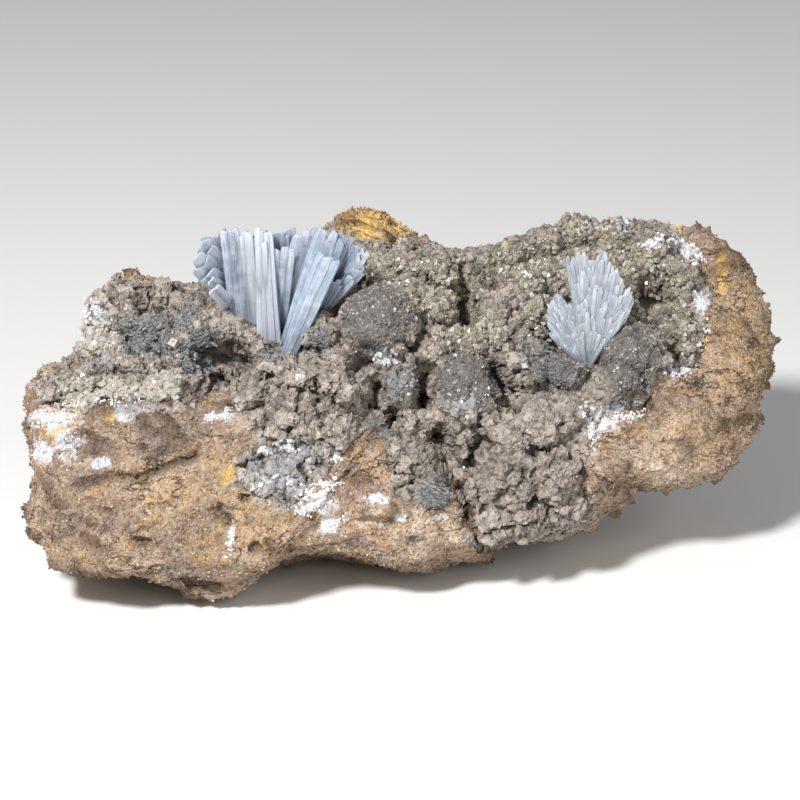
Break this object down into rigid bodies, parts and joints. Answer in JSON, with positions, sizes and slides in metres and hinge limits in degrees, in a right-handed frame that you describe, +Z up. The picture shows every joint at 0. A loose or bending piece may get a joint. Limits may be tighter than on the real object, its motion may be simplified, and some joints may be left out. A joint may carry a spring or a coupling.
{
  "type": "barite crystal specimen on matrix",
  "caption": "Long lump of brown host rock with a knobbly grey mineral crust over its front and top, bearing two upright fans of pale blue barite blades; stands on a flat underside.",
  "frame": {"origin": "centre of the bounding box's footprint, on the level surface that the specimen stands on", "axes": "+X along the length, to the viewer's right; +Y from the crusted front to the broken back; +Z up"},
  "size_m": [0.1596, 0.0792, 0.0759],
  "materials": {
    "brown_rock": "rough broken rock, ochre to golden brown",
    "grey_crust": "matt grey-brown crust with small glittering crystals",
    "blue_barite": "translucent pale blue crystal with a vitreous to pearly lustre"
  },
  "bodies": {
    "root": {"host_rock": "brown_rock", "grey_crust": "grey_crust", "barite_fan_large": "blue_barite", "barite_fan_small": "blue_barite"}
  },
  "joints": []
}
